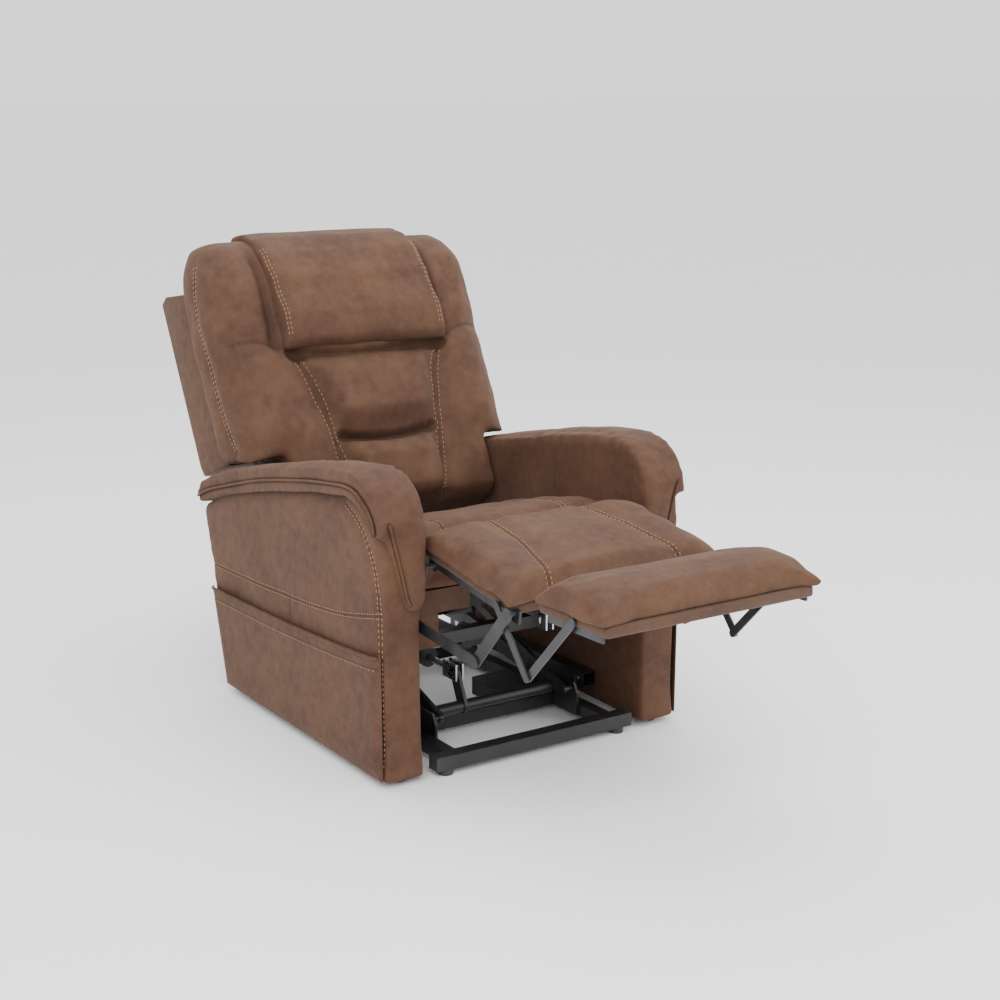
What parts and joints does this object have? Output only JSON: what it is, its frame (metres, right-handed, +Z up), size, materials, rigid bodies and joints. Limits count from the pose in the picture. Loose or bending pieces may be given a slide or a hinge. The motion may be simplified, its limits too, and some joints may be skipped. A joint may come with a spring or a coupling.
{
  "type": "lift recliner chair",
  "caption": "Powered lift recliner with padded arms, side pockets, reclining back, tilting headrest, two-part folding legrest and a tubular lift base.",
  "frame": {"origin": "centre of the resting bounding box on the floor", "axes": "+X towards the sitter's left, +Y towards the back of the chair, +Z up; the chair faces -Y"},
  "size_m": [0.84, 1.805, 1.122],
  "materials": {
    "suede": "brushed faux leather, matt brown with a soft nap",
    "suede_board": "the same cover drawn over a board",
    "black_cloth": "black lining cloth",
    "black_steel": "black powder coat",
    "zinc_steel": "zinc plated",
    "black_plastic": "moulded, matt"
  },
  "bodies": {
    "base": {"base_side_rails": "black_steel", "base_front_tube": "black_steel", "base_middle_tube": "black_steel", "base_rear_tube": "black_steel", "base_end_caps": "black_plastic", "base_feet": "black_plastic", "base_pivot_brackets": "black_steel", "power_supply": "black_plastic", "lift_motor": "black_plastic", "lift_motor_mount": "black_steel"},
    "lift_links": {"lift_links": "black_steel", "lift_torsion_tube": "black_steel"},
    "stabiliser_links": {"stabiliser_links": "black_steel"},
    "lift_rod": {"lift_motor_rod": "zinc_steel"},
    "chair_body": {"body_side_rails": "black_steel", "body_front_cross_tube": "black_steel", "body_rear_cross_tubes": "black_steel", "body_lift_brackets": "black_steel", "left_side_panel": "suede", "right_side_panel": "suede", "left_arm_cap": "suede", "right_arm_cap": "suede", "left_side_pocket": "suede", "right_side_pocket": "suede", "arm_glides": "black_plastic", "panel_bolts": "zinc_steel", "seat_frame": "black_steel", "seat_support_tubes": "black_steel", "seat_springs": "zinc_steel", "seat_cushion": "suede", "front_valance_ends": "suede", "front_valance_center": "black_cloth", "legrest_mount_plates": "black_steel", "legrest_motor": "black_plastic", "recline_motor": "black_plastic", "back_hinge_mounts": "black_steel"},
    "back": {"back_cushion": "suede", "back_shell": "suede", "back_frame": "black_steel", "recline_lever": "black_steel", "back_hinge_brackets": "black_steel", "headrest_motor": "black_plastic"},
    "recline_rod": {"recline_motor_rod": "zinc_steel"},
    "headrest": {"headrest_cushion": "suede", "headrest_pillow": "suede", "headrest_frame": "black_steel", "headrest_hinge_rod": "black_steel"},
    "headrest_rod": {"headrest_push_rod": "zinc_steel"},
    "chaise": {"chaise_cushion": "suede", "chaise_board": "suede_board", "chaise_side_brackets": "black_steel"},
    "rear_arms": {"legrest_rear_arms": "black_steel", "legrest_torque_tube": "black_steel"},
    "lift_arms": {"legrest_lift_arms": "black_steel"},
    "short_links": {"extension_short_links": "black_steel"},
    "long_links": {"extension_long_links": "black_steel"},
    "footrest": {"footrest_cushion": "suede", "footrest_board": "suede_board", "footrest_side_brackets": "black_steel"},
    "legrest_rod": {"legrest_motor_rod": "zinc_steel"}
  },
  "joints": [
    {"name": "lift", "type": "hinge", "parent": "base", "child": "lift_links", "pos_m": [0, -0.11809, 0.075], "axis": [1, 0, 0], "range_deg": [0, 50]},
    {"name": "body_tilt", "type": "hinge", "parent": "lift_links", "child": "chair_body", "pos_m": [0, 0.28191, 0.135], "axis": [1, 0, 0], "range_deg": [-25, 0]},
    {"name": "stabiliser_swing", "type": "hinge", "parent": "base", "child": "stabiliser_links", "pos_m": [0, -0.16789, 0.08], "axis": [1, 0, 0], "range_deg": [0, 42.2]},
    {"name": "lift_drive", "type": "slide", "parent": "base", "child": "lift_rod", "axis": [0, -1, 0], "range_m": [0, 0.068]},
    {"name": "recline", "type": "hinge", "parent": "chair_body", "child": "back", "pos_m": [0, 0.33191, 0.3], "axis": [-1, 0, 0], "range_deg": [-15, 18]},
    {"name": "recline_drive", "type": "slide", "parent": "chair_body", "child": "recline_rod", "axis": [0, -1, 0], "range_m": [-0.0285, 0.0342]},
    {"name": "headrest_tilt", "type": "hinge", "parent": "back", "child": "headrest", "pos_m": [0, 0.54659, 0.81485], "axis": [1, 0, 0], "range_deg": [0, 25]},
    {"name": "headrest_drive", "type": "slide", "parent": "back", "child": "headrest_rod", "axis": [0, 0.454, 0.891], "range_m": [0, 0.0597]},
    {"name": "legrest", "type": "hinge", "parent": "chair_body", "child": "chaise", "pos_m": [0, -0.28749, 0.4796], "axis": [1, 0, 0], "range_deg": [0, 82]},
    {"name": "rear_arm_swing", "type": "hinge", "parent": "chair_body", "child": "rear_arms", "pos_m": [0, -0.17249, 0.3496], "axis": [1, 0, 0], "range_deg": [0, 82.1]},
    {"name": "lift_arm_swing", "type": "hinge", "parent": "rear_arms", "child": "lift_arms", "pos_m": [0, -0.47912, 0.32122], "axis": [1, 0, 0], "range_deg": [-82.1, 0]},
    {"name": "short_link_swing", "type": "hinge", "parent": "chaise", "child": "short_links", "pos_m": [0, -0.54589, 0.458], "axis": [1, 0, 0], "range_deg": [0, 182.5]},
    {"name": "long_link_swing", "type": "hinge", "parent": "short_links", "child": "long_links", "pos_m": [0, -0.65303, 0.33343], "axis": [1, 0, 0], "range_deg": [-66, 0]},
    {"name": "footrest_swing", "type": "hinge", "parent": "long_links", "child": "footrest", "pos_m": [0, -0.79821, 0.4853], "axis": [1, 0, 0], "range_deg": [-107.5, 0]},
    {"name": "legrest_drive", "type": "slide", "parent": "chair_body", "child": "legrest_rod", "axis": [0, 1, 0], "range_m": [0, 0.092]}
  ],
  "couplings": [
    {"joint": "body_tilt", "follows": "lift", "ratio": -0.5},
    {"joint": "stabiliser_swing", "follows": "lift", "ratio": 0.8422},
    {"joint": "lift_drive", "follows": "lift", "m_per_rad": 0.07746},
    {"joint": "recline_drive", "follows": "recline", "m_per_rad": 0.1085},
    {"joint": "headrest_drive", "follows": "headrest_tilt", "m_per_rad": 0.13561},
    {"joint": "rear_arm_swing", "follows": "legrest", "ratio": 1},
    {"joint": "lift_arm_swing", "follows": "legrest", "ratio": -1},
    {"joint": "short_link_swing", "follows": "legrest", "ratio": 2.2029},
    {"joint": "long_link_swing", "follows": "legrest", "ratio": -0.80331},
    {"joint": "footrest_swing", "follows": "legrest", "ratio": -1.3089},
    {"joint": "legrest_drive", "follows": "legrest", "m_per_rad": 0.06421}
  ]
}
